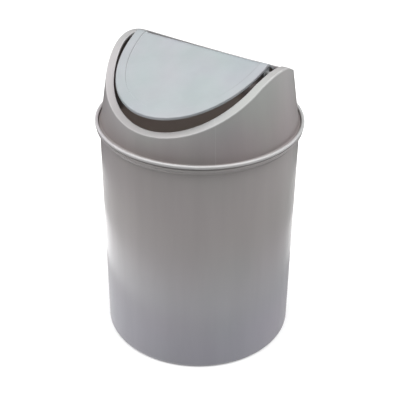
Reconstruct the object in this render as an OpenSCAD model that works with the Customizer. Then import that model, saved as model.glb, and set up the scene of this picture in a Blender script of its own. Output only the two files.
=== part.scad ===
// Countertop trash can: a round bucket, a hood that seats in its rim, and a lid that swings on two pins.
// Millimetres. The floor is z = 0, the can's axis is Z, the lid's ridge lies along X, the front is -Y.

/* [Bucket] */
// Height of the rolled rim's widest circle above the floor
rim_h = 176.5; // [120:0.5:260]
// Outer radius of the rolled rim
rim_r = 76; // [60:0.5:110]
// How far the rolled rim stands out from the wall below it
rim_overhang = 3.4; // [3:0.1:5]
// How much smaller the wall's radius is at the floor than under the rim
wall_draft = 0.8; // [0:0.1:8]
// Thickness of the bucket's wall
bucket_wall = 1.8; // [1.2:0.1:2.2]
// Thickness of the bucket's floor
floor_t = 2; // [1.5:0.1:4]
// Radius of the rounded edge at the foot
foot_round = 2.3; // [1:0.1:4]
// Width of the flat ring that the bucket stands on
foot_ring_w = 5; // [3:0.5:12]
// Height of the hollow under the floor
foot_hollow = 1.5; // [0.5:0.1:4]
// Diameter of the rolled bead at the top of the rim
bead_d = 2.1; // [1.6:0.1:3]
// Diameter of the thin bead below it
under_bead_d = 1.5; // [1.2:0.1:2.4]
// Depth of the ledge that the hood sits on, below the rim's widest circle
ledge_depth = 3.5; // [3:0.1:8]

/* [Hood] */
// Radial distance from the rim's outside to the hood's wall at the rim's widest circle
trough_w = 4.35; // [4:0.05:8]
// Angle at which the hood's wall leans inwards
hood_lean = 8.45; // [2:0.05:15]
// Thickness of the hood's wall
hood_wall = 1.8; // [1.2:0.1:2.4]
// Thickness of the flange that closes the gap inside the rolled rim
flange_t = 2.8; // [1.2:0.1:3.3]
// Width and height of the slope between the flange and the foot of the hood's wall
flange_cove = 0.9; // [0.3:0.1:1.2]
// Height of the hood's two ears above the rim's widest circle
ear_h = 51.5; // [35:0.5:70]
// Radius that rounds the hood's top over the ears
ear_round = 40; // [15:0.5:50]
// Slope of the hood's top from the ears down to the front
front_slope = 32; // [20:0.1:36]
// Slope of the hood's top from the ears down to the back
back_slope = 28; // [20:0.1:36]
// Thickness of the lip round the mouth
lip_t = 1.8; // [1.2:0.1:3]
// Width of the lip at the ears
lip_w_ear = 5.7; // [4:0.1:10]
// Width of the lip at the front and the back
lip_w_front = 4.2; // [3:0.1:10]
// How far the skirt reaches into the bucket, below the ledge
skirt_depth = 8; // [5:0.5:20]
// Thickness of the skirt
skirt_t = 1.8; // [1.2:0.1:2.4]
// Radial clearance between the skirt or flange and the bucket
seat_gap = 0.4; // [0.2:0.05:0.8]

/* [Swing lid] */
// Slope of the lid's front wing
lid_front_slope = 31; // [20:0.1:36]
// Slope of the lid's back wing
lid_back_slope = 28.3; // [20:0.1:36]
// Upright thickness of the lid's wings
lid_t = 2; // [1.6:0.1:3]
// Radius along the lid's ridge
ridge_round = 5; // [3:0.5:10]
// Height of the lid's rounded ridge above the pins' axis
ridge_over_pin = 6.65; // [6:0.05:12]
// Gap between the lid's ends and the lip at the ears
lid_end_gap = 3.4; // [1:0.1:6]
// Least gap between the lid's edge and the lip as it swings past
swing_gap = 0.9; // [0.6:0.1:3]
// Angle at which the free lid hangs, front edge up
hang_angle = 10.5; // [0:0.5:14]
// Width of the raised border round the lid's panel
border_w = 7; // [4:0.5:12]
// How far the panel is sunk below the border
panel_sink = 0.7; // [0.3:0.1:0.9]
// Extra thickness under the back wing, which tips the front edge up
back_extra = 0.36; // [0:0.02:1]

/* [Hinge] */
// Radius of the hinge pins
pin_r = 1.75; // [1.25:0.05:2]
// Length of a hinge pin
pin_len = 13; // [10:0.5:16]
// Depth of the pins' axis below the top of the ears
pin_drop = 3.7; // [3.4:0.1:6]
// Running clearance between a pin and its bore in the ear, on the radius
pin_gap = 0.05; // [0.02:0.01:0.1]
// Interference of a pin in the lid's lug, on the radius
pin_press = 0.01; // [0:0.01:0.03]
// Outer radius of the bosses in the ears
boss_r = 3.4; // [3:0.1:3.7]
// Outer radius of the lugs under the lid
lug_r = 3.4; // [3:0.1:3.7]
// Length of the lugs
lug_len = 7; // [5:0.5:12]
// Distance from the lid's end to the face of its lug
lug_back = 1.2; // [1:0.1:3]

/* [Hidden] */
$fn = 128;
eps = 0.02;
oval_sides = 120;
reach = 2 * rim_r;

wall_r = rim_r - rim_overhang;
foot_r = wall_r - wall_draft;
ledge_z = rim_h - ledge_depth;
bead_r = rim_r - bead_d / 2;
upstand_r = bead_r;
upstand_t = 1.4;
under_bead_r = upstand_r - under_bead_d / 4;
// Height of the thin bead's middle above the ledge
under_bead_up = 0.35;

lean = tan(hood_lean);
hood_r = rim_r - trough_w;
skirt_r = wall_r - bucket_wall - seat_gap;
flange_r = upstand_r - upstand_t - seat_gap;

// From here on, pairs of values are for the front and the back
top_slopes = [front_slope, back_slope];
lid_slopes = [lid_front_slope, lid_back_slope];

// How far a slope's plane passes over the middle of a rounded crown
function over_crown(slope, round_r) = round_r * (1 / cos(slope) - 1);

// Half width of a lid's wing whose lower face falls at slope m from c above the pins to a circle round them
function wing_w(m, c, circle_r) =
    (c * m + sqrt(pow(c * m, 2) - (1 + m * m) * (c * c - circle_r * circle_r))) / (1 + m * m);

// Height above the rim to which the hood's wall is drawn before its top is cut
wall_top = ear_h + 10;
top_peaks = [for (s = [0, 1]) ear_h + over_crown(top_slopes[s], ear_round)];
mouth_len = hood_r - lean * ear_h - lip_w_ear;
mouth_w = [for (s = [0, 1]) (hood_r - lean * top_peaks[s]) / (1 - lean * tan(top_slopes[s])) - lip_w_front];
mouth_edge_h = [for (s = [0, 1]) top_peaks[s] - mouth_w[s] * tan(top_slopes[s])];

pin_h = ear_h - pin_drop;
pin_z = rim_h + pin_h;
lid_ridge = pin_h + ridge_over_pin;
lid_len = mouth_len - lid_end_gap;
// The lid's lower edges swing on circles that clear the lip
swing_r = [for (s = [0, 1]) norm([mouth_w[s], pin_h - mouth_edge_h[s]]) - swing_gap];
lid_w = [for (s = [0, 1])
    wing_w(tan(lid_slopes[s]), ridge_over_pin + over_crown(lid_slopes[s], ridge_round) - lid_t, swing_r[s])];
panel_w = [for (s = [0, 1]) lid_w[s] - border_w];

// How far a boss's face lies behind the mouth's edge
boss_recess = 0.3;
// How far a pin's inner end lies inside its lug
pin_inset = 0.5;
// Play between a pin's outer end and the bottom of its bore
pin_end_play = 0.3;
boss_face = mouth_len + boss_recess;
lug_face = lid_len - lug_back;
pin_in = lug_face - lug_len + pin_inset;
bore_end = pin_in + pin_len + pin_end_play;

bucket_colour = [0.57, 0.55, 0.54];
hood_colour = [0.52, 0.50, 0.49];
lid_colour = [0.78, 0.79, 0.80];
pin_colour = [0.70, 0.70, 0.70];

// Points of an oval of half length a, with its front and its back half width in a pair
function oval(a, halves) = [
    for (i = [0 : oval_sides - 1])
    let (t = 360 * i / oval_sides)
    [a * cos(t), halves[t > 180 ? 0 : 1] * sin(t)]
];

// Everything under a roof that falls to the front and to the back of a rounded crown, drawn across the crown
module under_roof(crown, slopes, round_r)
{
    tangent_y = [for (s = [0, 1]) round_r * sin(slopes[s])];
    tangent_z = [for (s = [0, 1]) rim_h + crown - round_r * (1 - cos(slopes[s]))];
    end_z = [for (s = [0, 1]) tangent_z[s] - (reach - tangent_y[s]) * tan(slopes[s])];
    rotate([90, 0, 90])
    linear_extrude(height = 2 * reach, center = true)
    union()
    {
        polygon([
            [-reach, end_z[0]],
            [-tangent_y[0], tangent_z[0]],
            [tangent_y[1], tangent_z[1]],
            [reach, end_z[1]],
            [reach, -reach],
            [-reach, -reach]
        ]);
        translate([0, rim_h + crown - round_r]) circle(r = round_r);
    }
}

// A sheet that follows that roof, t thick measured upright
module roof_sheet(crown, slopes, round_r, t)
{
    difference()
    {
        under_roof(crown, slopes, round_r);
        translate([0, 0, -t]) under_roof(crown, slopes, round_r);
    }
}

// An upright oval block from the floor to above the lid
module oval_block(a, halves)
{
    linear_extrude(height = rim_h + 2 * ear_h) polygon(oval(a, halves));
}

module bucket_outline()
{
    difference()
    {
        union()
        {
            polygon([
                [0, 0],
                [foot_r - foot_round, 0],
                [foot_r, foot_round],
                [wall_r, ledge_z],
                [0, ledge_z]
            ]);
            translate([foot_r - foot_round, foot_round]) circle(r = foot_round);
            // The step out to the ledge, the upstand round it and the two beads
            polygon([
                [wall_r - eps, ledge_z - bucket_wall - (upstand_r - wall_r)],
                [upstand_r, ledge_z - bucket_wall],
                [upstand_r, rim_h],
                [upstand_r - upstand_t, rim_h],
                [0, rim_h],
                [0, 0]
            ]);
            translate([bead_r, rim_h]) circle(d = bead_d);
            translate([under_bead_r, ledge_z + under_bead_up]) circle(d = under_bead_d);
        }
        // The inside of the bucket, up to the ledge
        polygon([
            [-eps, foot_hollow + floor_t],
            [foot_r - bucket_wall - foot_round, foot_hollow + floor_t],
            [foot_r - bucket_wall, foot_hollow + floor_t + foot_round],
            [wall_r - bucket_wall, ledge_z - 2],
            [wall_r - bucket_wall, rim_h + bead_d],
            [-eps, rim_h + bead_d]
        ]);
        // The seat above the ledge
        translate([0, ledge_z]) square([upstand_r - upstand_t, ledge_depth + bead_d]);
        // The hollow under the floor
        translate([-eps, -eps]) square([foot_r - foot_round - foot_ring_w, foot_hollow + eps]);
        translate([-reach, -reach / 2]) square([reach, 2 * rim_h]);
    }
}

module bucket()
{
    color(bucket_colour)
    rotate_extrude() bucket_outline();
}

// The hood's wall, flange and skirt, before its top is cut to the two slopes
module hood_wall_ring()
{
    rotate_extrude()
    polygon([
        [skirt_r, ledge_z - skirt_depth],
        [skirt_r, ledge_z],
        [flange_r, ledge_z],
        [flange_r, ledge_z + flange_t],
        [hood_r - lean * (flange_t - ledge_depth) + flange_cove, ledge_z + flange_t],
        [hood_r - lean * (flange_t + flange_cove - ledge_depth), ledge_z + flange_t + flange_cove],
        [hood_r - lean * wall_top, rim_h + wall_top],
        [hood_r - lean * wall_top - hood_wall, rim_h + wall_top],
        [hood_r - hood_wall, rim_h],
        [skirt_r - skirt_t, ledge_z],
        [skirt_r - skirt_t, ledge_z - skirt_depth]
    ]);
}

// The solid cone that the hood's outside lies on
module hood_cone()
{
    translate([0, 0, rim_h]) cylinder(r1 = hood_r, r2 = hood_r - lean * wall_top, h = wall_top);
}

module hood()
{
    color(hood_colour)
    difference()
    {
        union()
        {
            intersection()
            {
                hood_wall_ring();
                under_roof(ear_h, top_slopes, ear_round);
            }
            // The lip round the mouth
            intersection()
            {
                difference()
                {
                    roof_sheet(ear_h, top_slopes, ear_round, lip_t / cos(front_slope));
                    oval_block(mouth_len, mouth_w);
                }
                hood_cone();
            }
            // The bosses that hold the pins
            intersection()
            {
                for (side = [-1, 1])
                {
                    translate([side * boss_face, 0, pin_z])
                    rotate([0, side * 90, 0])
                    cylinder(r = boss_r, h = lip_w_ear + hood_wall);
                }
                hood_cone();
            }
        }
        for (side = [-1, 1])
        {
            translate([side * (boss_face - 1), 0, pin_z])
            rotate([0, side * 90, 0])
            cylinder(r = pin_r + pin_gap, h = bore_end - boss_face + 1);
        }
    }
}

// The lid with both wings level, before it is hung at its angle
module level_lid()
{
    difference()
    {
        union()
        {
            intersection()
            {
                roof_sheet(lid_ridge, lid_slopes, ridge_round, lid_t);
                oval_block(lid_len, lid_w);
            }
            // The thicker part under the back wing
            intersection()
            {
                translate([0, 0, -lid_t + eps])
                roof_sheet(lid_ridge, lid_slopes, ridge_round, back_extra + eps);
                oval_block(lid_len - border_w, panel_w);
                translate([-reach, 0, 0]) cube([2 * reach, reach, rim_h + 2 * ear_h]);
            }
            // The lugs that hold the pins
            intersection()
            {
                for (side = [-1, 1])
                {
                    translate([side * (lug_face - lug_len / 2), 0, pin_z])
                    union()
                    {
                        rotate([0, 90, 0]) cylinder(r = lug_r, h = lug_len, center = true);
                        translate([-lug_len / 2, -lug_r, 0]) cube([lug_len, 2 * lug_r, ridge_over_pin]);
                    }
                }
                translate([0, 0, -lid_t / 2]) under_roof(lid_ridge, lid_slopes, ridge_round);
            }
        }
        // The sunk panel
        intersection()
        {
            roof_sheet(lid_ridge + 10, lid_slopes, ridge_round, 10 + panel_sink);
            oval_block(lid_len - border_w, panel_w);
        }
        // The bores for the pins
        for (side = [-1, 1])
        {
            translate([side * (pin_in - pin_inset), 0, pin_z])
            rotate([0, side * 90, 0])
            cylinder(r = pin_r - pin_press, h = lug_len + 2);
        }
    }
}

// Turns something about the pins to the angle at which the lid hangs
module hung()
{
    translate([0, 0, pin_z])
    rotate([-hang_angle, 0, 0])
    translate([0, 0, -pin_z])
    children();
}

module swing_lid()
{
    color(lid_colour)
    hung() level_lid();
}

module hinge_pin(side)
{
    color(pin_colour)
    translate([side * pin_in, 0, pin_z])
    rotate([0, side * 90, 0])
    cylinder(r = pin_r, h = pin_len);
}

module hinge_pin_left()
{
    hinge_pin(-1);
}

module hinge_pin_right()
{
    hinge_pin(1);
}

bucket();
hood();
swing_lid();
hinge_pin_left();
hinge_pin_right();
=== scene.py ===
"""Looks of a round countertop trash can with a swing lid, built round its packed CAD model.

Metres. The floor is z = 0, the can's axis is Z, the lid's ridge and pins lie along X, the front is -Y.
"""

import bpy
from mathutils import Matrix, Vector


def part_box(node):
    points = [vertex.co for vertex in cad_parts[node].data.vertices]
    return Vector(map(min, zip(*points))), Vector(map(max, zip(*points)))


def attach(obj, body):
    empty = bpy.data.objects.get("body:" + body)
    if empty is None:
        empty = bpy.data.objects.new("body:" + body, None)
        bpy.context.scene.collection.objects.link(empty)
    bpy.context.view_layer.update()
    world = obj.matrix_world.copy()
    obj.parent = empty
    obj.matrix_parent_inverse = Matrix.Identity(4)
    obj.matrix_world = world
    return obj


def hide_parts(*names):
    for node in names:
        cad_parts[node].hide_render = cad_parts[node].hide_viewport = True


bl_info = {
    "name": "Countertop trash can",
    "version": (1, 0, 0),
    "blender": (4, 5, 0),
    "location": "View3D > Sidebar > Trash can",
    "description": "Builds a round moulded bin with a lift-off hood and a swing lid",
    "category": "Add Mesh",
}

from math import cos, pi, radians, sin, tan

import bpy
import numpy as np
from bpy.props import FloatProperty, FloatVectorProperty, PointerProperty
from mathutils import Matrix, Vector

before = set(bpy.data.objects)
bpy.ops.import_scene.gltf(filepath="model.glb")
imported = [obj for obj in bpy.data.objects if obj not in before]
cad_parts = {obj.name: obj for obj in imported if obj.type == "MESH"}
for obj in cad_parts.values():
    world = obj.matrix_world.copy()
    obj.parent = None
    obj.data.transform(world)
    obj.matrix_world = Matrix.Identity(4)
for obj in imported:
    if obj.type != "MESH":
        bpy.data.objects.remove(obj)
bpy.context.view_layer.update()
BUCKET_LOW, BUCKET_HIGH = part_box("bucket")
HOOD_LOW, HOOD_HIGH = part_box("hood")
PIN_LOW, PIN_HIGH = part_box("hinge_pin_right")
PIN_AXIS_Z = (PIN_LOW.z + PIN_HIGH.z) / 2
PIN_RADIUS = (PIN_HIGH.z - PIN_LOW.z) / 2
HANG_ANGLE = radians(10.5)

MM = 0.001


def level_lid_reach():
    """Half length, front half width and back half width of the CAD lid's oval, turned back level on its pins."""
    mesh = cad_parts["swing_lid"].data
    points = np.empty(len(mesh.vertices) * 3)
    mesh.vertices.foreach_get("co", points)
    x, y, z = points.reshape(-1, 3).T
    level_y = y * cos(HANG_ANGLE) - (z - PIN_AXIS_Z) * sin(HANG_ANGLE)
    return float(x.max()), float(-level_y.min()), float(level_y.max())


LID_LENGTH, LID_FRONT, LID_BACK = level_lid_reach()


# Sizes and colours that a user would change


def length(name, description, default):
    """A size in metres."""
    return FloatProperty(name=name, description=description, default=default, unit="LENGTH", precision=5)


def angle(name, description, degrees):
    """An angle, shown in degrees."""
    return FloatProperty(name=name, description=description, default=radians(degrees), unit="ROTATION")


def share(name, description, default):
    """A plain factor."""
    return FloatProperty(name=name, description=description, default=default, precision=3)


def colour(name, description, default):
    """A linear colour."""
    return FloatVectorProperty(name=name, description=description, default=default, size=3, subtype="COLOR")


class BucketSizes(bpy.types.PropertyGroup):
    """Sizes of the bucket."""

    rim_radius: length("Rim radius", "Outer radius of the rolled rim", BUCKET_HIGH.x)
    bead: length("Rim bead", "Diameter of the rolled bead", 2.1 * MM)
    top: length("Height", "Top of the rolled bead above the floor", BUCKET_HIGH.z)
    overhang: length("Rim overhang", "How far the rim stands out from the wall", 3.4 * MM)
    draft: length("Draft", "How much smaller the wall's radius is at the floor", 0.8 * MM)
    wall: length("Wall", "Thickness of the wall", 1.8 * MM)
    floor: length("Floor", "Thickness of the floor", 2 * MM)
    foot_hollow: length("Foot hollow", "Height of the hollow under the floor", 1.5 * MM)
    foot_ring: length("Foot ring", "Width of the ring that the bucket stands on", 5 * MM)
    foot_round: length("Foot edge", "Radius of the rounded edge at the foot", 2.3 * MM)
    ledge_depth: length("Ledge depth", "Depth of the hood's ledge below the bead's centre", 3.5 * MM)
    under_bead: length("Under bead", "Diameter of the thin bead below the rim", 1.5 * MM)
    under_bead_up: length("Under bead height", "Height of the thin bead's middle above the ledge", 0.35 * MM)
    upstand: length("Upstand", "Thickness of the upstand under the bead", 1.4 * MM)


class HoodSizes(bpy.types.PropertyGroup):
    """Sizes of the hood."""

    top: length("Ear height", "Top of the two ears above the floor", HOOD_HIGH.z)
    foot: length("Skirt foot", "Lower edge of the skirt above the floor", HOOD_LOW.z)
    flange_radius: length("Flange radius", "Outer radius of the flange", HOOD_HIGH.x)
    trough: length("Trough", "From the rim's outside to the hood's wall", 4.35 * MM)
    wall: length("Wall", "Thickness of the wall", 1.8 * MM)
    flange: length("Flange", "Thickness of the flange", 2.8 * MM)
    cove: length("Cove", "Width and height of the rounded slope between the flange and the wall", 0.9 * MM)
    lean: angle("Lean", "Angle at which the wall leans inwards", 8.45)
    front_slope: angle("Front slope", "Slope of the top from the ears to the front", 32)
    back_slope: angle("Back slope", "Slope of the top from the ears to the back", 28)
    ear_round: length("Ear rounding", "Radius that rounds the top over the ears", 40 * MM)
    lip: length("Lip thickness", "Thickness of the lip round the mouth", 1.8 * MM)
    lip_ear: length("Lip width at the ears", "Width of the lip at the ears", 5.7 * MM)
    lip_front: length("Lip width in front", "Width of the lip at the front and the back", 4.2 * MM)
    lip_edge: length("Lip edge", "Radius of the lip's outer edge", 1.1 * MM)
    seat_gap: length("Seat gap", "Clearance between the skirt and the bucket", 0.4 * MM)
    boss: length("Boss radius", "Radius of the bosses that hold the pins", 3.4 * MM)
    bore_gap: length("Bore gap", "Clearance of a pin in its bore", 0.05 * MM)


class LidSizes(bpy.types.PropertyGroup):
    """Sizes of the swing lid."""

    half_length: length("Half length", "From the middle to an end, along the ridge", LID_LENGTH)
    front_width: length("Front width", "From the ridge to the front edge, level", LID_FRONT)
    back_width: length("Back width", "From the ridge to the back edge, level", LID_BACK)
    thickness: length("Thickness", "Upright thickness of the wings", 2 * MM)
    front_slope: angle("Front slope", "Slope of the front wing", 31)
    back_slope: angle("Back slope", "Slope of the back wing", 28.3)
    ridge_round: length("Ridge rounding", "Radius along the ridge", 5 * MM)
    ridge_over_pin: length("Ridge height", "From the pins' axis to the top of the ridge", 6.65 * MM)
    border: length("Border", "Width of the raised border", 7 * MM)
    sink: length("Panel depth", "How far the panel is sunk below the border", 0.7 * MM)
    edge: length("Edge rounding", "Radius of the outer edge", 0.45 * MM)
    lug: length("Lug radius", "Radius of the lugs that hold the pins", 3.4 * MM)
    lug_length: length("Lug length", "Length of the lugs", 7 * MM)
    lug_back: length("Lug setback", "From the lid's end to the lug's face", 1.2 * MM)


class PlasticLook(bpy.types.PropertyGroup):
    """Colours of the moulded plastics."""

    bucket: colour("Bucket", "Warm silver grey of the bucket", (0.335, 0.312, 0.309))
    bucket_low: colour("Bucket, low down", "Cooler grey towards the foot", (0.318, 0.308, 0.345))
    # The rim bead's paler grey is a painted highlight along the rolled bead
    bead: colour("Rim bead", "Paler grey of the bucket's smooth rim bead", (0.47, 0.455, 0.46))
    # The hood and its lip are one plastic. The hood's darker grey is partly its own warm tone and partly painted
    # shade on its front wall, and the lip's paler grey is painted light on its lit upper face
    hood: colour("Hood", "Warm silver grey of the hood", (0.281, 0.249, 0.245))
    lip: colour("Lip", "Paler grey of the hood's smooth lip", (0.375, 0.362, 0.36))
    lid: colour("Lid", "Cool silver grey of the lid", (0.333, 0.345, 0.365))
    pin: colour("Pins", "Plain grey of the hinge pins", (0.32, 0.32, 0.32))
    inside: colour("Inside", "Warm light that comes through the wall", (1.0, 0.80, 0.70))
    green: colour("Green shade", "Where the pigment leans to green", (0.90, 1.0, 0.955))
    violet: colour("Violet shade", "Where the pigment leans to violet", (0.985, 0.955, 1.0))


class StudioLook(bpy.types.PropertyGroup):
    """Camera and light."""

    distance: length("Distance", "Level distance from the can's axis to the camera", 0.642)
    height: length("Camera height", "Height of the camera above the floor", 0.5034)
    azimuth: angle("Azimuth", "Turn of the camera round the can, from the front to the right", 33.31)
    pitch: angle("Pitch", "How far the camera looks down", 31.83)
    roll: angle("Roll", "Turn of the camera about its own axis", 0.529)
    lens: share("Lens", "Focal length in millimetres", 88.85)
    shift: share("Shift", "Sideways shift that centres the can as photographed", 0.0025)
    light: share("Light", "Strength of all the lamps together", 1.0)
    bounce: share("Bounce", "Strength of the light thrown up by the table", 1.0)


GROUPS = {"can_bucket": BucketSizes, "can_hood": HoodSizes, "can_lid": LidSizes, "can_plastic": PlasticLook,
          "can_studio": StudioLook}


# Surfaces

# Points of the arc that rounds a corner, and of the whole corner with its two support points
ARC_POINTS = 6
POINTS_OF_CORNER = ARC_POINTS + 2
# Largest share of the shorter side beside a corner that its arc takes up, and that its support point adds
ARC_SHARE, SUPPORT_SHARE = 0.44, 0.04
SUPPORT = 0.25 * MM
LEAST_ROUND = 0.01 * MM
LEAST_TURN = 1e-4
TINY = 1e-12
# Steps round the bucket and the lid, the bosses and lugs, the pins, and across the lid's panel
TURNS, SLEEVE_TURNS, PIN_TURNS, PANEL_STEPS = 256, 64, 48, 20
# How much closer the hood's and the lid's steps stand at the ends of the ridge
HOOD_CROWDING, LID_CROWDING = 0.25, 0.3
# Corners of the hood's cross-section, and those two of them on the upper face of its lip
HOOD_CORNERS, LIP_CORNERS = 13, (6, 7)
ROOF_PASSES = 12
SLEEVE_EDGE = 0.4 * MM
# How far the bosses' faces stand back from the mouth
BOSS_BACK = 0.3 * MM
PIN_EDGE = 0.5 * MM


def rounded(corners, radii, closed=True):
    """An outline with round corners, and a mark of how convex each of its points is.

    Corners is (..., K, 2) and radii is (K,). Where the outline turns by an angle a, an arc of radius r starts
    r tan(a / 2) before the corner. Its points are the spherical mean of its first and last radius about its
    centre, which lies r / cos(a / 2) from the corner. A support point on each side keeps the straight stretch
    flat. An open outline keeps its two end points as they are.
    """
    way_in = corners - np.roll(corners, 1, axis=-2)
    way_out = np.roll(way_in, -1, axis=-2)
    length_in = np.linalg.norm(way_in, axis=-1, keepdims=True)
    length_out = np.linalg.norm(way_out, axis=-1, keepdims=True)
    way_in, way_out = way_in / length_in, way_out / length_out
    turn = np.arccos(np.clip((way_in * way_out).sum(-1, keepdims=True), -1, 1))
    turn = np.maximum(turn, LEAST_TURN)
    room = np.minimum(length_in, length_out)
    reach = np.clip(np.asarray(radii)[:, None] * np.tan(turn / 2), LEAST_ROUND, ARC_SHARE * room)
    inward = way_out - way_in
    inward = inward / np.maximum(np.linalg.norm(inward, axis=-1, keepdims=True), TINY)
    centre = corners + inward * reach / np.sin(turn / 2)
    first = corners - way_in * reach - centre
    last = corners + way_out * reach - centre
    turned = np.linspace(0, 1, ARC_POINTS)[:, None]
    turn, centre, first, last = (part[..., None, :] for part in (turn, centre, first, last))
    arc = np.sin((1 - turned) * turn) * first + np.sin(turned * turn) * last
    arc = centre + arc / np.sin(turn)
    support = reach + np.minimum(SUPPORT, SUPPORT_SHARE * room)
    lead = (corners - way_in * support)[..., None, :]
    trail = (corners + way_out * support)[..., None, :]
    points = np.concatenate([lead, arc, trail], axis=-2)
    left_turn = np.sign(way_in[..., 0] * way_out[..., 1] - way_in[..., 1] * way_out[..., 0])
    convex = np.zeros(points.shape[:-1])
    convex[..., 1:-1] = left_turn[..., None]
    shape = points.shape[:-3] + (-1,)
    if closed:
        return points.reshape(shape + (2,)), convex.reshape(shape)
    points = points[..., 1:-1, :, :].reshape(shape + (2,))
    points = np.concatenate([corners[..., :1, :], points, corners[..., -1:, :]], axis=-2)
    ends = np.zeros(points.shape[:-2] + (1,))
    return points, np.concatenate([ends, convex[..., 1:-1, :].reshape(shape), ends], axis=-1)


def patch(index):
    """Faces between the neighbouring rows and columns of a table of vertex numbers."""
    corners = (index[:-1, :-1], index[1:, :-1], index[1:, 1:], index[:-1, 1:])
    return np.stack([c.ravel() for c in corners], axis=1)


def wrapped(index, rows=True, columns=True):
    """The same table with its first row, its first column or both repeated at the end, which closes it."""
    if rows:
        index = np.vstack([index, index[:1]])
    if columns:
        index = np.hstack([index, index[:, :1]])
    return index


def fan(pole, row):
    """Triangles between a pole and the neighbours in a row of vertex numbers."""
    return [[int(pole), a, b] for a, b in zip(row[:-1].tolist(), row[1:].tolist())]


def tube(points, wear_and_shading, ends=False):
    """A grid of points (N, M, 3) closed along N: a ring at each step of M.

    Without ends it closes along M too, as a ring-shaped shell. With ends, its first and last column each shrink
    to one point, the pole. Gives points, faces and wear as flat lists.
    """
    rows, columns = points.shape[:2]
    if not ends:
        index = np.arange(rows * columns).reshape(rows, columns)
        return points.reshape(-1, 3), patch(wrapped(index)).tolist(), wear_and_shading.ravel()
    body = points[:, 1:-1].reshape(-1, 3)
    around = wrapped(np.arange(len(body)).reshape(rows, columns - 2), columns=False)
    faces = patch(around).tolist() + fan(len(body), around[::-1, 0]) + fan(len(body) + 1, around[:, -1])
    every = np.concatenate([body, points[:1, 0], points[:1, -1]])
    return every, faces, np.concatenate([wear_and_shading[:, 1:-1].ravel(), wear_and_shading[:1, 0], wear_and_shading[:1, -1]])


def spun(outline, wear_and_shading, turns=TURNS):
    """An outline (M, 2) of radius and height, turned about Z: x = r cos t, y = r sin t."""
    t = np.linspace(0, 2 * pi, turns, endpoint=False)[:, None]
    r, z = outline[..., 0], outline[..., 1]
    points = np.stack([r * np.cos(t), r * np.sin(t), z + 0 * t], axis=-1)
    return points, np.broadcast_to(wear_and_shading, points.shape[:2])


def laid_on_x(points, side):
    """Points about Z turned to lie about the pins' axis, towards side 1 or -1."""
    x, y, z = points[..., 0], points[..., 1], points[..., 2]
    return np.stack([side * z, side * y, PIN_AXIS_Z - x], axis=-1)


def roof(y, crown, slopes, ridge):
    """Height of a roof that falls from a rounded crown at one slope to the front and another to the back.

    Up to ridge sin(slope) from the middle it is the top of a circle of the ridge's radius, crown - ridge +
    sqrt(ridge^2 - y^2). Further out it is the plane that touches that circle, over_crown - |y| tan(slope).
    """
    slope = np.where(y < 0, *slopes)
    plane = crown + over_crown(slope, ridge) - np.abs(y) * np.tan(slope)
    top = crown - ridge + np.sqrt(np.maximum(ridge**2 - y**2, 0))
    return np.where(np.abs(y) < ridge * np.sin(slope), top, plane)


def over_crown(slope, ridge):
    """How far a slope's plane passes over the middle of the rounded crown that it touches."""
    return ridge * (1 / np.cos(slope) - 1)


def finish_piece(name, parts, material, body, nodes, slot, **attributes):
    """Joins closed shells (points, faces, wear) into one smooth piece that stands for its CAD nodes.

    Each further attribute is given for the first shell, and is 0 on the rest.
    """
    points, faces, wear_and_shading, start = [], [], [], 0
    for part_points, part_faces, part_wear_and_shading in parts:
        faces += [[start + corner for corner in face] for face in part_faces]
        points.append(part_points)
        wear_and_shading.append(part_wear_and_shading)
        start += len(part_points)
    mesh = bpy.data.meshes.new(name)
    mesh.from_pydata(np.concatenate(points), [], faces)
    mesh.shade_smooth()
    # The convexity mark. The material turns it into lighter convex edges, partly rubbed wear and partly painted
    # highlight, and darker hollows, partly dirt and partly painted shade
    for attribute, values in {"wear_and_shading": np.concatenate(wear_and_shading), **attributes}.items():
        mark = mesh.attributes.new(attribute, "FLOAT", "POINT")
        mark.data.foreach_set("value", np.resize(values, start) * (np.arange(start) < len(values)))
    mesh.materials.append(material)
    if mesh.validate():
        raise RuntimeError(f"{name} has bad faces")
    piece = bpy.data.objects.new(name, mesh)
    bpy.context.scene.collection.objects.link(piece)
    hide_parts(*nodes)
    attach(piece, body)


def bucket_outline(s):
    """The bucket's cross-section from the axis underneath, out, up and over the rim, and back to the axis."""
    wall_r = s.rim_radius - s.overhang
    foot_r = wall_r - s.draft
    bead_z = s.top - s.bead / 2
    ledge_z = bead_z - s.ledge_depth
    upstand_r = s.rim_radius - s.bead / 2
    seat_r = upstand_r - s.upstand
    under_r = upstand_r + s.under_bead / 4
    under_foot = ledge_z + s.under_bead_up - s.under_bead / 2
    under_top = under_foot + s.under_bead
    flare = upstand_r - wall_r
    hollow_r = foot_r - s.foot_round - s.foot_ring
    inside_r = wall_r - s.wall
    floor_z = s.foot_hollow + s.floor
    fine, small, bead = 0.15 * MM, 0.5 * MM, s.bead / 2
    corners = [
        (0, s.foot_hollow, 0),
        (hollow_r, s.foot_hollow, small),
        (hollow_r + s.foot_hollow / 3, 0, small),
        (foot_r, 0, s.foot_round),
        (wall_r, under_foot - s.wall / 2 - flare, 2 * small),
        (upstand_r - fine, under_foot - s.wall / 2 + fine, 2 * fine),
        (upstand_r - fine, under_foot, 2 * fine),
        (under_r, under_foot, s.under_bead / 2),
        (under_r, under_top, s.under_bead / 2),
        (upstand_r - fine, under_top, 2 * fine),
        (upstand_r - fine, s.top - s.bead, 2 * fine),
        (s.rim_radius, s.top - s.bead, bead),
        (s.rim_radius, s.top, bead),
        (seat_r, s.top, bead),
        (seat_r, ledge_z, fine),
        (inside_r, ledge_z, small),
        (foot_r - s.wall, floor_z, s.foot_round),
        (0, floor_z, 0),
    ]
    corners = np.array(corners)
    return rounded(corners[:, :2], corners[:, 2], closed=False)


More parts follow.
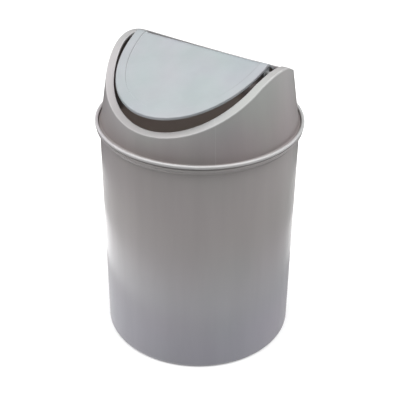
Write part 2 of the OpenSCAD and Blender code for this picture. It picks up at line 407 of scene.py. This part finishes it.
def on_bead_highlight(s, points):
    """1 at the points of the bucket's shell on its rim bead, where a paler grey paints its highlight."""
    within = np.hypot(points[:, 0], points[:, 1]) > s.rim_radius - s.bead
    return (within & (points[:, 2] > s.top - s.bead)).astype(float)


def mouth_half_length(s, bucket):
    """From the can's axis to the mouth's end under an ear."""
    rim_z = bucket.top - bucket.bead / 2
    return bucket.rim_radius - s.trough - tan(s.lean) * (s.top - rim_z) - s.lip_ear


def hood_section(s, bucket, t):
    """The hood's closed cross-section at each angle t round the axis, as radius and height.

    The wall leans inwards on a cone, r = foot - lean h. Its top corner is where that cone meets the roof: r is
    put back into the roof's height until it settles. The mouth is an oval, r = 1 / sqrt((cos t / a)^2 +
    (sin t / b)^2), with one b for the front and one for the back. The lip lies between the two.
    """
    lean = tan(s.lean)
    rim_z = bucket.top - bucket.bead / 2
    ledge_z = rim_z - bucket.ledge_depth
    wall_r = bucket.rim_radius - s.trough
    skirt_r = bucket.rim_radius - bucket.overhang - bucket.wall - s.seat_gap
    cos_t, sin_t = np.cos(t), np.sin(t)
    slopes = (s.front_slope, s.back_slope)
    slope = np.where(sin_t < 0, *slopes)
    peak_h = s.top + over_crown(slope, s.ear_round) - rim_z
    mouth_length = mouth_half_length(s, bucket)
    mouth_width = (wall_r - lean * peak_h) / (1 - lean * np.tan(slope)) - s.lip_front
    lip = s.lip / cos(s.front_slope)

    def top_z(r):
        return roof(r * sin_t, s.top, slopes, s.ear_round)

    outer = wall_r + 0 * t
    inner = wall_r - s.wall + 0 * t
    for _ in range(ROOF_PASSES):
        outer = wall_r - lean * (top_z(outer) - rim_z)
        inner = wall_r - s.wall - lean * (top_z(inner) - lip - rim_z)
    mouth = 1 / np.sqrt((cos_t / mouth_length) ** 2 + (sin_t / mouth_width) ** 2)
    flange_z = ledge_z + s.flange
    fine, small = 0.2 * MM, 0.5 * MM
    corners = [
        (skirt_r, s.foot, small),
        (skirt_r, ledge_z, fine),
        (s.flange_radius, ledge_z, fine),
        (s.flange_radius, flange_z, fine),
        (wall_r - lean * (flange_z - rim_z) + s.cove, flange_z, 2 * s.cove),
        (wall_r - lean * (flange_z + s.cove - rim_z), flange_z + s.cove, 2 * s.cove),
        (outer, top_z(outer), s.lip_edge),
        (mouth, top_z(mouth), small),
        (mouth, top_z(mouth) - lip, small),
        (inner, top_z(inner) - lip, small),
        (wall_r - s.wall, rim_z, small),
        (skirt_r - s.wall, ledge_z, small),
        (skirt_r - s.wall, s.foot, small),
    ]
    section = np.array([[r + 0 * t, z + 0 * t] for r, z, _ in corners])
    return rounded(np.moveaxis(section, -1, 0), [radius for _, _, radius in corners])


def hood_shell(s, bucket):
    """The hood's wall, flange, skirt and lip in one ring-shaped shell.

    Its cross-sections are closer spaced round the ears: t = u - c sin 2u.
    """
    u = np.linspace(0, 2 * pi, 2 * TURNS, endpoint=False)
    t = u - HOOD_CROWDING * np.sin(2 * u)
    section, wear_and_shading = hood_section(s, bucket, t)
    r, z = section[..., 0], section[..., 1]
    points = np.stack([r * np.cos(t)[:, None], r * np.sin(t)[:, None], z], axis=-1)
    return tube(points, wear_and_shading)


def on_lit_lip(count):
    """1 at the points of the hood's shell on the upper face of its lip, from its outer edge to inside the mouth,
    where a paler grey paints the light on the lit lip.

    Each ring of the shell has the same number of points to a corner.
    """
    corner = np.arange(count) % (HOOD_CORNERS * POINTS_OF_CORNER) // POINTS_OF_CORNER
    return np.isin(corner, LIP_CORNERS).astype(float)


def sleeve(near, far, bore, outside, side):
    """A boss with a bore about the pins' axis: at each angle a rounded box between the bore and its outside.

    Near and far are where it starts and ends along X, and outside(t) is its radius at the angle t from
    straight up. The box is turned about the axis, with y = r sin t and z = axis + r cos t.
    """
    t = np.linspace(0, 2 * pi, SLEEVE_TURNS, endpoint=False)
    r = outside(t)
    fine = SLEEVE_EDGE / 4
    corners = [(bore, near, fine), (r, near, SLEEVE_EDGE), (r, far, SLEEVE_EDGE), (bore, far, fine)]
    section = np.array([[r_ + 0 * t, x + 0 * t] for r_, x, _ in corners])
    section, wear_and_shading = rounded(np.moveaxis(section, -1, 0), [radius for _, _, radius in corners])
    r, x = section[..., 0], section[..., 1]
    points = np.stack([-r * np.cos(t)[:, None], r * np.sin(t)[:, None], x], axis=-1)
    return tube(laid_on_x(points, side), wear_and_shading)


def hood_bosses(s, bucket):
    """The two bosses under the ears, which the pins turn in."""
    near = mouth_half_length(s, bucket) + BOSS_BACK
    far = near + s.lip_ear - s.wall / 2
    bore = PIN_RADIUS + s.bore_gap
    return [sleeve(near, far, bore, lambda t: s.boss + 0 * t, side) for side in (-1, 1)]


def lid_angles():
    """Angles round the lid's oval, closer together at the ends of the ridge: t = u - c sin 2u."""
    u = -pi / 2 + np.linspace(0, 2 * pi, TURNS, endpoint=False)
    return u - LID_CROWDING * np.sin(2 * u)


def lid_height(s, y, under):
    """Height at y of a sheet that lies so far under the lid's top."""
    return roof(y, PIN_AXIS_Z + s.ridge_over_pin, (s.front_slope, s.back_slope), s.ridge_round) - under


def lid_shell(s):
    """The lid as one closed shell, level.

    Its rim is a section of depth under the roof against distance from the edge, carried round an oval: x =
    (a - d) cos t, y = (b - d) sin t, z = roof(y) - depth, with one b for the front and one for the back. The
    panel's rows run straight across between the two sides of the innermost ring, so that they follow the ridge.
    The darkening of the hollow round the panel is scaled by the square of cos t, most at the lid's ends: painted
    shade along the crease.
    """
    t = lid_angles()
    inset = s.border + 1.5 * MM
    border_edge, panel_edge = 0.45 * MM, 0.12 * MM
    corners = [
        (inset, s.thickness, 0),
        (0, s.thickness, s.edge),
        (0, 0, s.edge),
        (s.border - s.sink * 0.6, 0, border_edge),
        (s.border, s.sink, panel_edge),
        (inset, s.sink, 0),
    ]
    corners = np.array(corners)
    section, wear_and_shading = rounded(corners[:, :2], corners[:, 2], closed=False)
    wear_and_shading = -wear_and_shading
    d, depth = section[:, 0], section[:, 1]
    x = (s.half_length - d) * np.cos(t)[:, None]
    half_width = np.where(np.sin(t) < 0, s.front_width, s.back_width)[:, None]
    y = (half_width - d) * np.sin(t)[:, None]
    rings = np.stack([x, y, lid_height(s, y, depth)], axis=-1)
    rows, columns = rings.shape[:2]
    number = np.arange(rows * columns).reshape(rows, columns)
    faces = patch(wrapped(number, columns=False)[::-1]).tolist()
    # Painted shade along the crease round the panel, kept strongest at the lid's ends by the square of cos t
    crease_shade_share = np.where(wear_and_shading < 0, np.cos(t)[:, None] ** 2, 1)
    points, wears_and_shading, start = [rings.reshape(-1, 3)], [(wear_and_shading * crease_shade_share).ravel()], rows * columns
    for column, under, flip in ((-1, s.sink, False), (0, s.thickness, True)):
        panel_points, panel_faces, start = lid_panel(s, rings, number, column, under, start, flip)
        points.append(panel_points)
        wears_and_shading.append(np.zeros(len(panel_points)))
        faces += panel_faces
    return np.concatenate(points), faces, np.concatenate(wears_and_shading)


def lid_panel(s, rings, number, column, under, start, flip):
    """Rows of points across the oval inside one ring: x = k X, y = Y for k from 1 to -1, on the roof.

    The ring is a column of the table of vertex numbers, and the points' own numbers begin at start. Gives the
    points, the faces and the number after the last.
    """
    rows = len(rings)
    right = np.arange(0, rows // 2 + 1)
    left = (rows - right) % rows
    k = np.linspace(1, -1, PANEL_STEPS + 1)[1:-1]
    edge = rings[right[1:-1], column]
    x = edge[:, None, 0] * k
    y = edge[:, None, 1] + 0 * x
    points = np.stack([x, y, lid_height(s, y, under)], axis=-1)
    inner = start + np.arange(points[..., 0].size).reshape(points.shape[:2])
    table = np.hstack([number[right[1:-1], column][:, None], inner, number[left[1:-1], column][:, None]])
    faces = patch(table).tolist()
    faces += fan(number[right[0], column], table[0]) + fan(number[right[-1], column], table[-1, ::-1])
    if not flip:
        faces = [face[::-1] for face in faces]
    return points.reshape(-1, 3), faces, start + inner.size


def lid_lugs(s):
    """The two lugs under the ridge's ends: round below the pin, and straight-sided up to the lid above it."""
    top = s.ridge_over_pin + over_crown(s.front_slope, s.ridge_round) - s.thickness / 2

    def outside(t):
        across, up = np.abs(np.sin(t)), np.cos(t)
        side = s.lug / np.maximum(across, TINY)
        roofed = top / np.maximum(up + across * tan(s.front_slope), TINY)
        return np.where(up > 0, np.minimum(side, roofed), s.lug)

    far = s.half_length - s.lug_back
    return [sleeve(far - s.lug_length, far, PIN_RADIUS, outside, side) for side in (-1, 1)]


def hung(part):
    """A part of the level lid, turned about the pins to the angle at which it hangs, front edge up."""
    points, faces, wear_and_shading = part
    x, y, z = points.T
    up = z - PIN_AXIS_Z
    hung_y = y * cos(HANG_ANGLE) + up * sin(HANG_ANGLE)
    hung_z = PIN_AXIS_Z + up * cos(HANG_ANGLE) - y * sin(HANG_ANGLE)
    return np.stack([x, hung_y, hung_z], axis=1), faces, wear_and_shading


# Materials


def add(tree, kind, place, inputs=(), **settings):
    """A node at a place in the tree. Each input is a value, or a socket that is joined to it."""
    node = tree.nodes.new(kind)
    node.location = place
    for name, value in settings.items():
        setattr(node, name, value)
    for name, value in dict(inputs).items():
        if isinstance(value, bpy.types.NodeSocket):
            tree.links.new(value, node.inputs[name])
        else:
            node.inputs[name].default_value = value
    return node


def mixed(tree, place, factor, first, second, blend="MIX"):
    """Colour output of a Mix node between two colours."""
    inputs = {0: factor, 6: first, 7: second}
    return add(tree, "ShaderNodeMix", place, inputs, data_type="RGBA", blend_type=blend).outputs[2]


def worked(tree, place, operation, *values):
    """Output of a Math node."""
    return add(tree, "ShaderNodeMath", place, enumerate(values), operation=operation).outputs[0]


def ranged(tree, place, value, low, high, to_low, to_high):
    """Output of a smooth Map Range node."""
    inputs = {"From Min": low, "From Max": high, "To Min": to_low, "To Max": to_high, "Value": value}
    return add(tree, "ShaderNodeMapRange", place, inputs, interpolation_type="SMOOTHSTEP").outputs["Result"]


def vector(tree, place, operation, first, second=(0, 0, 0)):
    """Output of a Vector Math node: a number for a dot product or a length, and else a vector."""
    node = add(tree, "ShaderNodeVectorMath", place, {0: first, 1: second}, operation=operation)
    return node.outputs["Value" if operation in ("DOT_PRODUCT", "LENGTH") else "Vector"]


def place_of(tree, place):
    """A point's place in the piece's own frame, which is the can's."""
    return add(tree, "ShaderNodeTexCoord", place).outputs["Object"]


def new_group(name, inputs, outputs):
    """An empty shader node group with sockets given as {name: (kind, default)} and {name: kind}."""
    group = bpy.data.node_groups.new(name, "ShaderNodeTree")
    for socket_name, (kind, default) in inputs.items():
        socket = group.interface.new_socket(socket_name, in_out="INPUT", socket_type="NodeSocket" + kind)
        socket.default_value = default
    for socket_name, kind in outputs.items():
        group.interface.new_socket(socket_name, in_out="OUTPUT", socket_type="NodeSocket" + kind)
    group_in = add(group, "NodeGroupInput", (-1000, 0))
    group_out = add(group, "NodeGroupOutput", (900, 0))
    return group, group_in.outputs, group_out.inputs


WHITE, BLACK = (1, 1, 1, 1), (0, 0, 0, 1)
# Colour of the darkening in hollow corners: partly dirt, partly painted shade
DIRT_AND_SHADE = (0.05, 0.045, 0.04, 1)
PLASTIC_IOR = 1.5
GRAIN_DEPTH = 0.02 * MM
# Heights between which the bucket's colour goes over into the cooler one
COOL_LOW, COOL_HIGH = 10 * MM, 130 * MM
# Where light comes through the wall: nearer the axis than the radius, over the foot, and how strongly
INSIDE_RADIUS, INSIDE_FOOT, INSIDE_GLOW = 71.3 * MM, 1.6 * MM, 0.042
# The hood's parting line: its turn round the axis, half width, where it ends, paleness and relief
PARTING_TURN, PARTING_HALF, PARTING_END = radians(42), 0.1 * MM, 0.35 * MM
PARTING_PALE, PARTING_RELIEF = 0.05, 0.8


def pigment_clouds():
    """Node group: broad soft patches where the pigment leans to one shade or to another."""
    inputs = {
        "Colour": ("Color", WHITE),
        "First shade": ("Color", WHITE),
        "Second shade": ("Color", WHITE),
        "Scale": ("Float", 14),
        "Amount": ("Float", 0.5),
    }
    group, given, out = new_group("pigment clouds", inputs, {"Colour": "Color"})
    place = place_of(group, (-1000, 300))
    shaded = given["Colour"]
    for shade, shift, y in (("First shade", (0.31, 0.17, 0.05), 300), ("Second shade", (0.07, 0.41, 0.23), 0)):
        moved = add(group, "ShaderNodeMapping", (-800, y), {"Vector": place, "Location": shift})
        noise = add(group, "ShaderNodeTexNoise", (-600, y),
                    {"Vector": moved.outputs[0], "Scale": given["Scale"], "Detail": 2, "Roughness": 0.4})
        patches = ranged(group, (-400, y), noise.outputs["Fac"], 0.42, 0.68, 0, given["Amount"])
        tinted = mixed(group, (-200, y), 1, shaded, given[shade], "MULTIPLY")
        shaded = mixed(group, (0, y), patches, shaded, tinted)
    group.links.new(shaded, out["Colour"])


def moulded_skin():
    """Node group: the satin skin of moulded plastic.

    A fine even grain and long faint flow marks give the height and the roughness. Convex edges are rubbed a
    little smoother and lighter: the lighter colour is partly wear and partly a painted highlight. Hollow corners
    are darker, partly dirt and partly painted shade.
    """
    inputs = {
        "Colour": ("Color", WHITE),
        "Wear_and_shading": ("Float", 0),
        "Grain": ("Float", 1400),
        "Roughness": ("Float", 0.4),
        "Spread": ("Float", 0.05),
        "Rubbed_and_highlight": ("Float", 0.1),
        "Dirt_and_shade": ("Float", 0.15),
        "Flow": ("Vector", (60, 60, 6)),
    }
    outputs = {"Colour": "Color", "Roughness": "Float", "Height": "Float"}
    group, given, out = new_group("moulded skin", inputs, outputs)
    place = place_of(group, (-1000, 300))
    grain = add(group, "ShaderNodeTexNoise", (-700, 400),
                {"Vector": place, "Scale": given["Grain"], "Detail": 3, "Roughness": 0.6}).outputs["Fac"]
    stretched = add(group, "ShaderNodeMapping", (-850, 100), {"Vector": place, "Scale": given["Flow"]})
    flow = add(group, "ShaderNodeTexNoise", (-650, 100),
               {"Vector": stretched.outputs[0], "Scale": 1, "Detail": 4, "Roughness": 0.55}).outputs["Fac"]
    # Convex edges painted lighter, partly rubbed wear and partly a painted highlight; the smoother roughness there
    # is real
    rubbed_and_highlight = ranged(group, (-400, -100), given["Wear_and_shading"], 0.2, 1, 0, given["Rubbed_and_highlight"])
    # Hollow corners painted darker: partly dirt, partly painted shade
    dirt_and_shade = ranged(group, (-400, -350), given["Wear_and_shading"], -0.2, -1, 0, given["Dirt_and_shade"])
    streaks = ranged(group, (-400, 150), flow, 0.3, 0.7, 0.97, 1.03)
    lighter = mixed(group, (-150, 100), rubbed_and_highlight, given["Colour"], WHITE)
    dirtied_and_shaded = mixed(group, (50, 100), dirt_and_shade, lighter, DIRT_AND_SHADE)
    group.links.new(vector(group, (250, 100), "MULTIPLY", dirtied_and_shaded, streaks), out["Colour"])
    varied = worked(group, (-150, 400), "MULTIPLY_ADD", worked(group, (-300, 400), "SUBTRACT", flow, 0.5),
                    given["Spread"], given["Roughness"])
    smoothed = worked(group, (50, 400), "SUBTRACT", varied, worked(group, (-100, 250), "MULTIPLY", rubbed_and_highlight, 0.2))
    group.links.new(smoothed, out["Roughness"])
    height = worked(group, (50, 600), "MULTIPLY_ADD", flow, 0.25, grain)
    group.links.new(height, out["Height"])


def plastic(name, tint, second=None, pale=None, clouds=0.5, cloud_scale=14.0, parted=False, lit_inside=False,
            **skin):
    """A satin moulded plastic from the two groups, with the skin group's inputs by name.

    Second is the colour towards the floor, and pale the paler colour where the mesh is marked as pale, which
    paints a highlight on the rim bead and light on the hood's lip. Parted adds a parting line, and lit inside
    the light that comes through the wall.
    """
    look = bpy.context.scene.can_plastic
    groups = bpy.data.node_groups
    material = bpy.data.materials.new(name)
    material.use_nodes = True
    tree = material.node_tree
    tree.nodes.clear()
    base = (*tint, 1)
    if second is not None:
        parts = add(tree, "ShaderNodeSeparateXYZ", (-1300, 200), {0: place_of(tree, (-1500, 200))})
        low = ranged(tree, (-1100, 200), parts.outputs["Z"], COOL_LOW, COOL_HIGH, 1, 0)
        base = mixed(tree, (-900, 200), low, base, (*second, 1))
    if pale is not None:
        # A paler grey where marked: a painted highlight on the rim bead, and painted light on the hood's lit lip
        on_painted_light = add(tree, "ShaderNodeAttribute", (-1100, 500), attribute_name="pale").outputs["Fac"]
        base = mixed(tree, (-900, 500), on_painted_light, base, (*pale, 1))
    given = {"Colour": base, "First shade": (*look.green, 1), "Second shade": (*look.violet, 1),
             "Scale": cloud_scale, "Amount": clouds}
    clouded = add(tree, "ShaderNodeGroup", (-650, 200), given, node_tree=groups["pigment clouds"])
    # Convexity mark: lighter convex edges are partly wear and partly painted highlight, darker hollows partly dirt
    # and partly painted shade
    wear_and_shading = add(tree, "ShaderNodeAttribute", (-650, -100), attribute_name="wear_and_shading").outputs["Fac"]
    given = {"Colour": clouded.outputs["Colour"], "Wear_and_shading": wear_and_shading}
    given.update({socket.capitalize(): value for socket, value in skin.items()})
    skinned = add(tree, "ShaderNodeGroup", (-400, 200), given, node_tree=groups["moulded skin"])
    shown, height = skinned.outputs["Colour"], skinned.outputs["Height"]
    if parted:
        line = parting_line(tree)
        shown = mixed(tree, (-150, 400), worked(tree, (-350, 500), "MULTIPLY", line, PARTING_PALE), shown, WHITE)
        height = worked(tree, (-150, -100), "MULTIPLY_ADD", line, PARTING_RELIEF, height)
    bump = add(tree, "ShaderNodeBump", (0, -150), {"Height": height, "Distance": GRAIN_DEPTH, "Strength": 1})
    surface = {"Base Color": shown, "Roughness": skinned.outputs["Roughness"], "Normal": bump.outputs[0],
               "IOR": PLASTIC_IOR}
    if lit_inside:
        surface |= {"Emission Color": light_through_wall(tree), "Emission Strength": INSIDE_GLOW}
    shader = add(tree, "ShaderNodeBsdfPrincipled", (250, 200), surface)
    add(tree, "ShaderNodeOutputMaterial", (550, 200), {"Surface": shader.outputs[0]})
    return material


def light_through_wall(tree):
    """The warm colour of light through the wall, on the bucket's inner side and not on its outside or foot."""
    place = place_of(tree, (-1100, -500))
    away = vector(tree, (-700, -500), "LENGTH", vector(tree, (-900, -500), "MULTIPLY", place, (1, 1, 0)))
    up = add(tree, "ShaderNodeSeparateXYZ", (-900, -700), {0: place}).outputs["Z"]
    soft = 0.2 * MM
    within = ranged(tree, (-500, -500), away, INSIDE_RADIUS - soft, INSIDE_RADIUS + soft, 1, 0)
    above = ranged(tree, (-500, -700), up, INSIDE_FOOT - soft / 2, INSIDE_FOOT + soft / 2, 0, 1)
    warm = (*bpy.context.scene.can_plastic.inside, 1)
    return mixed(tree, (-100, -500), worked(tree, (-300, -500), "MULTIPLY", within, above), BLACK, warm)


def parting_line(tree):
    """A faint upright line where the two halves of the hood's mould met, on a plane through the axis."""
    across = (cos(PARTING_TURN), sin(PARTING_TURN), 0)
    off = vector(tree, (-900, 700), "DOT_PRODUCT", place_of(tree, (-1100, 700)), across)
    return ranged(tree, (-700, 700), worked(tree, (-800, 700), "ABSOLUTE", off), PARTING_HALF, PARTING_END, 1, 0)


def material_named(name):
    """One of the can's plastics, made the first time that it is asked for."""
    if name in bpy.data.materials:
        return bpy.data.materials[name]
    if "moulded skin" not in bpy.data.node_groups:
        pigment_clouds()
        moulded_skin()
    look = bpy.context.scene.can_plastic
    plastics = {
        "bucket plastic": dict(tint=look.bucket, second=look.bucket_low, pale=look.bead, clouds=0.6,
                               cloud_scale=9.0, roughness=0.22, lit_inside=True),
        "hood plastic": dict(tint=look.hood, pale=look.lip, clouds=0.6, cloud_scale=16.0, roughness=0.33,
                             parted=True),
        # The lid's hollows are darkened strongly to paint the shade along the crease round its panel, and its
        # convex edges are lightened to paint highlights
        "lid plastic": dict(tint=look.lid, clouds=0.8, cloud_scale=22.0, roughness=0.33, dirt_and_shade=0.45, rubbed_and_highlight=0.2),
        "pin plastic": dict(tint=look.pin, clouds=0.2, roughness=0.3),
    }
    return plastic(name, **plastics[name])


FLOOR_RADIUS, FLOOR_RINGS, FLOOR_TURNS = 60.0, 12, 96
FLOOR_DROP = 0.02 * MM
FLOOR_WHITE = (0.93, 0.93, 0.93, 1)
# What the table throws back at the can: from each distance on, its strengths in front, to the right, behind and to
# the left of the can as the camera sees it
BOUNCE = (
    (0.0, (0.6, 0.5, 0.55, 0.8)),
    (0.13, (1.2, 0.6, 2.35, 1.85)),
    (0.19, (0.8, 0.35, 1.2, 0.8)),
    (0.28, (1.0, 0.6, 0.0, 0.35)),
    (0.45, (0.0, 0.6, 0.0, 0.05)),
)
# Share of a distance over which one ring's strength goes over into the next
BOUNCE_BLEND = 0.07


def pale_floor():
    """A plain pale studio table. The can sees it brighter round about and darker further off.

    Each ring of the table glows with one strength to each of the four sides, and goes over into the next by the
    square of the cosine of the angle between them. The glow is not seen by the camera.
    """
    look = bpy.context.scene.can_studio
    material = bpy.data.materials.new("pale floor")
    material.use_nodes = True
    tree = material.node_tree
    shader = tree.nodes["Principled BSDF"]
    noise = add(tree, "ShaderNodeTexNoise", (-500, -300), {"Scale": 40, "Detail": 3})
    dull = ranged(tree, (-250, -300), noise.outputs["Fac"], 0.3, 0.7, 0.75, 0.85)
    tree.links.new(dull, shader.inputs["Roughness"])
    seen = add(tree, "ShaderNodeLightPath", (-500, 300)).outputs["Is Camera Ray"]
    tree.links.new(mixed(tree, (-250, 300), seen, BLACK, FLOOR_WHITE), shader.inputs["Base Color"])

    flat = vector(tree, (-2000, 0), "MULTIPLY", place_of(tree, (-2200, 0)), (1, 1, 0))
    away = vector(tree, (-1800, 200), "LENGTH", flat)
    way = vector(tree, (-1800, -200), "NORMALIZE", flat)
    glow = 0.0
    for side in range(4):
        turn, y = look.azimuth + side * pi / 2, -200 * side
        towards = vector(tree, (-1600, y), "DOT_PRODUCT", way, (sin(turn), -cos(turn), 0))
        facing = worked(tree, (-1400, y), "MAXIMUM", towards, 0.0)
        strength = BOUNCE[0][1][side]
        for (_, before), (start, after) in zip(BOUNCE[:-1], BOUNCE[1:]):
            near, far = (1 - BOUNCE_BLEND) * start, (1 + BOUNCE_BLEND) * start
            step = ranged(tree, (-1200, y), away, near, far, 0, after[side] - before[side])
            strength = worked(tree, (-1000, y), "ADD", strength, step)
        share_of_side = worked(tree, (-800, y), "MULTIPLY", facing, facing)
        glow = worked(tree, (-600, y), "MULTIPLY_ADD", strength, share_of_side, glow)
    hidden = worked(tree, (-400, 0), "SUBTRACT", 1.0, seen)
    tree.links.new(worked(tree, (-200, 0), "MULTIPLY", glow, hidden), shader.inputs["Emission Color"])
    shader.inputs["Emission Strength"].default_value = look.bounce
    return material


# Operators


class CAN_OT_bucket(bpy.types.Operator):
    """Builds the bucket with its rolled rim, ledge and foot ring."""

    bl_idname = "trash_can.bucket"
    bl_label = "Bucket"

    def execute(self, context):
        s = context.scene.can_bucket
        shell = tube(*spun(*bucket_outline(s)), ends=True)
        # The rim bead is marked pale for its painted highlight
        finish_piece("bucket_shell", [shell], material_named("bucket plastic"), "bucket", ["bucket"],
                     "bucket_plastic", pale=on_bead_highlight(s, shell[0]))
        return {"FINISHED"}


class CAN_OT_hood(bpy.types.Operator):
    """Builds the hood with its sloping mouth, lip, skirt and pin bosses."""

    bl_idname = "trash_can.hood"
    bl_label = "Hood"

    def execute(self, context):
        s, bucket = context.scene.can_hood, context.scene.can_bucket
        shell = hood_shell(s, bucket)
        # The lip's upper face is marked pale for the painted light on it
        finish_piece("hood_shell", [shell, *hood_bosses(s, bucket)], material_named("hood plastic"), "hood",
                     ["hood"], "hood_plastic", pale=on_lit_lip(len(shell[0])))
        return {"FINISHED"}


class CAN_OT_swing_lid(bpy.types.Operator):
    """Builds the gabled lid with its raised border, sunk panel and lugs, hung on its pins."""

    bl_idname = "trash_can.swing_lid"
    bl_label = "Swing lid"

    def execute(self, context):
        s = context.scene.can_lid
        parts = [hung(part) for part in (lid_shell(s), *lid_lugs(s))]
        finish_piece("lid_shell", parts, material_named("lid plastic"), "lid", ["swing_lid"], "lid_plastic")
        return {"FINISHED"}


class CAN_OT_hinge_pins(bpy.types.Operator):
    """Builds the two hinge pins with rounded ends."""

    bl_idname = "trash_can.hinge_pins"
    bl_label = "Hinge pins"

    def execute(self, context):
        start, end = PIN_LOW.x, PIN_HIGH.x
        corners = np.array([(0, start), (PIN_RADIUS, start), (PIN_RADIUS, end), (0, end)])
        outline, wear_and_shading = rounded(corners, [0, PIN_EDGE, PIN_EDGE, 0], closed=False)
        points, wear_and_shading = spun(outline, wear_and_shading, PIN_TURNS)
        for side, name in ((-1, "hinge_pin_left"), (1, "hinge_pin_right")):
            pin = tube(laid_on_x(points, side), wear_and_shading, ends=True)
            finish_piece(name + "_turned", [pin], material_named("pin plastic"), "lid", [name], "pin_plastic")
        return {"FINISHED"}


class CAN_OT_studio(bpy.types.Operator):
    """Builds the pale floor, the soft light and the camera."""

    bl_idname = "trash_can.studio"
    bl_label = "Studio"

    def execute(self, context):
        look = context.scene.can_studio
        place_camera(look)
        lay_floor()
        light_studio(look)
        return {"FINISHED"}


# Width of the camera's sensor in millimetres
SENSOR_WIDTH = 36


def place_camera(look):
    """The camera stands at the azimuth round the Z axis and looks down on it, slightly rolled."""
    data = bpy.data.cameras.new("camera")
    data.lens = look.lens
    data.sensor_width = SENSOR_WIDTH
    data.shift_x = look.shift
    camera = bpy.data.objects.new("camera", data)
    bpy.context.scene.collection.objects.link(camera)
    where = Vector((look.distance * sin(look.azimuth), -look.distance * cos(look.azimuth), look.height))
    turn = Matrix.Rotation(look.azimuth, 4, "Z") @ Matrix.Rotation(pi / 2 - look.pitch, 4, "X")
    camera.matrix_world = Matrix.Translation(where) @ turn @ Matrix.Rotation(look.roll, 4, "Z")
    bpy.context.scene.camera = camera


def lay_floor():
    """A large round floor, a disc of rings r = R k^2, a hair below the bucket's foot."""
    r = FLOOR_RADIUS * np.linspace(0, 1, FLOOR_RINGS) ** 2
    outline = np.stack([r, 0 * r - FLOOR_DROP], axis=1)
    points, _ = spun(outline, 0 * r, FLOOR_TURNS)
    body = points[:, 1:].reshape(-1, 3)
    index = wrapped(np.arange(len(body)).reshape(FLOOR_TURNS, FLOOR_RINGS - 1), columns=False)
    faces = patch(index).tolist() + fan(len(body), index[:, 0])
    mesh = bpy.data.meshes.new("floor")
    mesh.from_pydata(np.concatenate([body, points[:1, 0]]), [], faces)
    mesh.materials.append(pale_floor())
    floor = bpy.data.objects.new("floor", mesh)
    bpy.context.scene.collection.objects.link(floor)


# Lamps: strength, azimuth and height in degrees, and the angles from the lamp's middle where it starts to fade
# and where it ends. The azimuth is counted from the camera's side of the can to the camera's right.
LAMPS = (
    (2.2, 0, 90, 20, 48),
    (0.67, 0, 45, 10, 38),
    (2.55, 90, 45, 10, 38),
    (2.4, 270, 45, 10, 38),
    (0.5, 90, 12, 6, 32),
    (0.43, 135, 12, 6, 32),
    (0.72, 225, 12, 6, 32),
    (0.94, 270, 12, 6, 32),
)


def light_studio(look):
    """Soft lamps on a dark sky. Each fades smoothly with the angle between its middle and the way looked."""
    scene = bpy.context.scene
    scene.view_settings.view_transform = "Standard"
    world = bpy.data.worlds.new("soft light")
    scene.world = world
    world.use_nodes = True
    tree = world.node_tree
    tree.nodes.clear()
    way = add(tree, "ShaderNodeTexCoord", (-1200, 0)).outputs["Generated"]
    light = 0.0
    for row, (strength, azimuth, height, full, end) in enumerate(LAMPS):
        turn, up = look.azimuth + radians(azimuth), radians(height)
        middle = Vector((sin(turn) * cos(up), -cos(turn) * cos(up), sin(up)))
        near, y = vector(tree, (-1000, -200 * row), "DOT_PRODUCT", way, middle), -200 * row
        dark, bright = cos(radians(end)), cos(radians(full))
        lamp = ranged(tree, (-800, y), near, dark, bright, 0, strength * look.light)
        light = worked(tree, (-600, y), "ADD", light, lamp)
    background = add(tree, "ShaderNodeBackground", (-150, 0), {"Strength": light, "Color": WHITE})
    add(tree, "ShaderNodeOutputWorld", (100, 0), {"Surface": background.outputs[0]})


class CAN_PT_panel(bpy.types.Panel):
    """Lists the can's pieces and their sizes."""

    bl_idname = "CAN_PT_panel"
    bl_label = "Countertop trash can"
    bl_space_type = "VIEW_3D"
    bl_region_type = "UI"
    bl_category = "Trash can"

    def draw(self, context):
        for operator in OPERATORS:
            self.layout.operator(operator.bl_idname)
        for name, group in GROUPS.items():
            box = self.layout.box()
            box.label(text=group.__doc__.rstrip("."))
            for prop in group.__annotations__:
                box.prop(getattr(context.scene, name), prop)


OPERATORS = (CAN_OT_bucket, CAN_OT_hood, CAN_OT_swing_lid, CAN_OT_hinge_pins, CAN_OT_studio)
CLASSES = (*GROUPS.values(), *OPERATORS, CAN_PT_panel)


def register():
    for item in CLASSES:
        bpy.utils.register_class(item)
    for name, group in GROUPS.items():
        setattr(bpy.types.Scene, name, PointerProperty(type=group))


def unregister():
    for name in GROUPS:
        delattr(bpy.types.Scene, name)
    for item in reversed(CLASSES):
        bpy.utils.unregister_class(item)


def main():
    """Builds every piece in order."""
    register()
    bpy.ops.trash_can.bucket()
    bpy.ops.trash_can.hood()
    bpy.ops.trash_can.swing_lid()
    bpy.ops.trash_can.hinge_pins()
    bpy.ops.trash_can.studio()


if __name__ == "__main__":
    main()
